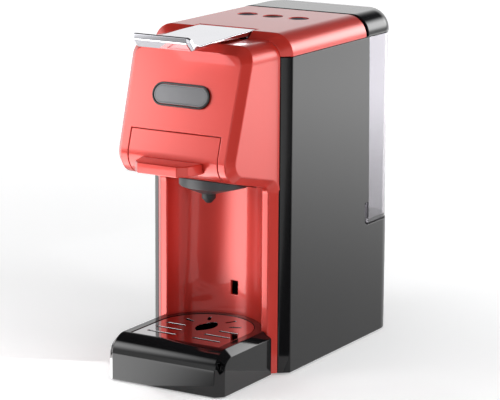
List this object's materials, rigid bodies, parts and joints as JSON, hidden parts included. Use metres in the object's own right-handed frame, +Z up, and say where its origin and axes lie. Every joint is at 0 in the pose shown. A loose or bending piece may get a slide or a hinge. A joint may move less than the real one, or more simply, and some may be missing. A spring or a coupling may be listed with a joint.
{
  "type": "pod coffee machine",
  "caption": "Narrow red and black pod coffee machine with a lifting lever, a pod drawer, a drip tray in a round niche and a clear water tank behind.",
  "frame": {"origin": "on the surface it stands on, under the middle of the machine's box at rest", "axes": "+X to the right seen from the front, the front faces -Y, +Z up"},
  "size_m": [0.13, 0.2816, 0.2835],
  "materials": {
    "red_gloss": "glossy, slightly pearlescent coral red",
    "black_gloss": "glossy black",
    "black_matte": "matt black",
    "dark_grey": "satin dark grey",
    "chrome": "mirror chrome",
    "steel": "plain steel",
    "grille_steel": "polished plate",
    "aluminium": "cast, unpolished",
    "clear_grey": "clear smoke-grey plastic",
    "rubber": "matt rubber",
    "white_plastic": "natural moulded",
    "circuit": "lacquered circuit board",
    "hose": "milky silicone",
    "badge_grey": "satin grey metal",
    "button_blue": "dark bluish",
    "button_brown": "dark red-brown"
  },
  "bodies": {
    "root": {"front_shell": "red_gloss", "top_cover": "red_gloss", "head_underside": "black_matte", "outlet_cone": "dark_grey", "outlet_nozzle": "black_matte", "badge_frame": "black_gloss", "badge_plate": "badge_grey", "rear_body": "black_gloss", "rear_wall": "black_matte", "base_plate": "black_matte", "base_screw_front_left": "steel", "base_screw_front_right": "steel", "base_screw_rear_left": "steel", "base_screw_rear_right": "steel", "foot_front_left": "rubber", "foot_front_right": "rubber", "foot_rear_left": "rubber", "foot_rear_right": "rubber", "tank_dock": "black_gloss", "valve_seat": "black_matte", "mains_inlet": "rubber", "chassis": "aluminium", "lever_bracket": "steel", "group_frame": "aluminium", "piston_guide": "dark_grey", "piston_spring_left": "steel", "piston_spring_right": "steel", "drawer_rail_left": "dark_grey", "drawer_rail_right": "dark_grey", "button_board": "circuit", "pump": "dark_grey", "pump_mount_lower": "rubber", "pump_mount_upper": "rubber", "boiler": "aluminium", "control_board": "circuit", "flow_meter": "white_plastic", "hose_tank": "hose", "hose_flow_meter": "hose", "hose_pump": "hose", "hose_boiler": "hose"},
    "lever": {"lever": "chrome", "lever_shaft": "steel", "lever_cam": "dark_grey"},
    "piston": {"brew_piston": "aluminium", "piston_seal": "rubber", "piston_yoke": "steel"},
    "pod_drawer": {"drawer_front": "red_gloss", "drawer_handle": "red_gloss", "pod_carrier": "black_matte", "pod_holder": "aluminium"},
    "button_left": {"button_left": "button_blue"},
    "button_middle": {"button_middle": "button_brown"},
    "button_right": {"button_right": "button_blue"},
    "drip_tray": {"drip_tray": "black_gloss"},
    "drip_grille": {"drip_grille": "grille_steel"},
    "tank": {"water_tank": "clear_grey"},
    "tank_valve": {"tank_valve": "rubber"},
    "tank_lid": {"tank_lid": "black_gloss"}
  },
  "joints": [
    {"name": "lever_hinge", "type": "hinge", "parent": "root", "child": "lever", "pos_m": [0, -0.05125, 0.266], "axis": [-1, 0, 0], "range_deg": [0, 80]},
    {"name": "piston_slide", "type": "slide", "parent": "root", "child": "piston", "axis": [0, 0, 1], "range_m": [0, 0.006], "deforming": ["piston_spring_left", "piston_spring_right"]},
    {"name": "pod_drawer_slide", "type": "slide", "parent": "root", "child": "pod_drawer", "axis": [0, -1, 0], "range_m": [0, 0.07]},
    {"name": "button_left_press", "type": "slide", "parent": "root", "child": "button_left", "axis": [0, 0, -1], "range_m": [0, 0.0012], "stiffness_N_per_m": 400},
    {"name": "button_middle_press", "type": "slide", "parent": "root", "child": "button_middle", "axis": [0, 0, -1], "range_m": [0, 0.0012], "stiffness_N_per_m": 400},
    {"name": "button_right_press", "type": "slide", "parent": "root", "child": "button_right", "axis": [0, 0, -1], "range_m": [0, 0.0012], "stiffness_N_per_m": 400},
    {"name": "drip_tray_slide", "type": "slide", "parent": "root", "child": "drip_tray", "axis": [0, -1, 0], "range_m": [0, 0.09]},
    {"name": "drip_grille_lift", "type": "slide", "parent": "drip_tray", "child": "drip_grille", "axis": [0, 0, 1], "range_m": [0, 0.03]},
    {"name": "tank_lift", "type": "slide", "parent": "root", "child": "tank", "axis": [0, 0, 1], "range_m": [0, 0.06]},
    {"name": "tank_valve_close", "type": "slide", "parent": "tank", "child": "tank_valve", "axis": [0, 0, -1], "range_m": [0, 0.002]},
    {"name": "tank_lid_lift", "type": "slide", "parent": "tank", "child": "tank_lid", "axis": [0, 0, 1], "range_m": [0, 0.03]}
  ],
  "couplings": [
    {"joint": "piston_slide", "follows": "lever_hinge", "m_per_rad": 0.004297},
    {"joint": "tank_valve_close", "follows": "tank_lift", "ratio": 0.033333}
  ]
}
